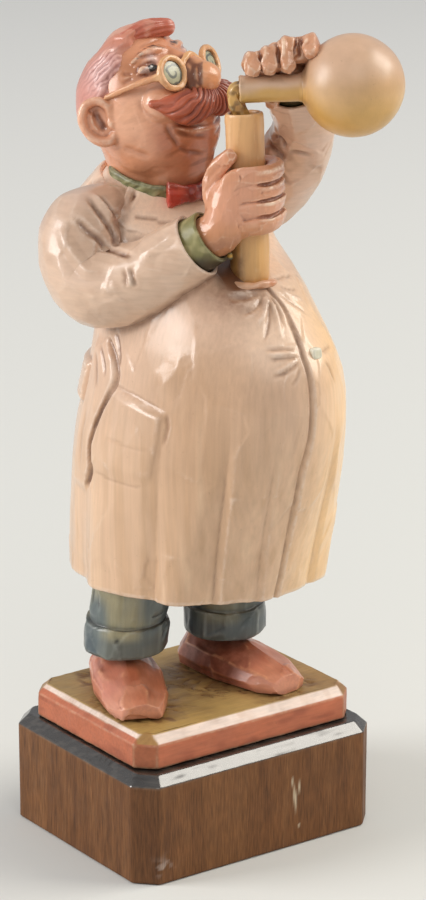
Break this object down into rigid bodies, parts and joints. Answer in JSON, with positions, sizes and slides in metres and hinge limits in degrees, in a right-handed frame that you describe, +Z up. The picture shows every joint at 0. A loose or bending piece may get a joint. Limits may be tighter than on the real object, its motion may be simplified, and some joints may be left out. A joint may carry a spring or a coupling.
{
  "type": "carved chemist figurine",
  "caption": "Carved and painted wooden figurine of a stout chemist in a long coat, pouring from a round flask into a measuring tube, on a plinth and a walnut block.",
  "frame": {"origin": "centre of the underside of the walnut block", "axes": "+Z up; the figure faces -Y, and its right hand with the measuring tube is on the -X side"},
  "size_m": [0.0758, 0.0863, 0.212],
  "materials": {
    "walnut": "oiled walnut, satin",
    "plinth_paint": "carved wood, stained terracotta with pale bevels",
    "screw_steel": "plain steel",
    "shoe_paint": "carved wood, painted, waxed",
    "trouser_paint": "carved wood, painted blue-grey, waxed",
    "coat_paint": "carved wood, thin pink-beige paint, waxed",
    "bare_limewood": "bare limewood",
    "skin_paint": "carved wood, painted, waxed",
    "hair_paint": "carved wood, painted, waxed",
    "moustache_paint": "carved wood, painted, waxed",
    "shirt_paint": "carved wood, painted olive green",
    "tie_paint": "carved wood, painted red",
    "glassware_paint": "turned wood, ochre stain, waxed",
    "liquid_paint": "carved wood, ochre stain, gloss",
    "rim_paint": "carved wood, ochre stain, waxed",
    "lens_paint": "carved wood, grey-green paint",
    "button_paint": "carved wood, pale paint"
  },
  "bodies": {
    "root": {"walnut_base": "walnut", "base_screw_right": "screw_steel", "base_screw_left": "screw_steel", "plinth": "plinth_paint", "right_shoe": "shoe_paint", "left_shoe": "shoe_paint", "right_trouser_leg": "trouser_paint", "left_trouser_leg": "trouser_paint", "right_leg_dowel": "bare_limewood", "left_leg_dowel": "bare_limewood", "coat_body": "coat_paint", "coat_button": "button_paint", "right_sleeve": "coat_paint", "left_sleeve": "coat_paint", "right_shoulder_dowel": "bare_limewood", "left_shoulder_dowel": "bare_limewood", "right_shirt_cuff": "shirt_paint", "left_shirt_cuff": "shirt_paint", "right_hand": "skin_paint", "left_hand": "skin_paint", "measuring_tube": "glassware_paint", "round_flask": "glassware_paint", "poured_stream": "liquid_paint", "neck_dowel": "bare_limewood", "head": "skin_paint", "hair": "hair_paint", "moustache": "moustache_paint", "spectacle_frame": "rim_paint", "right_lens": "lens_paint", "left_lens": "lens_paint", "shirt_collar": "shirt_paint", "bow_tie": "tie_paint"}
  },
  "joints": []
}
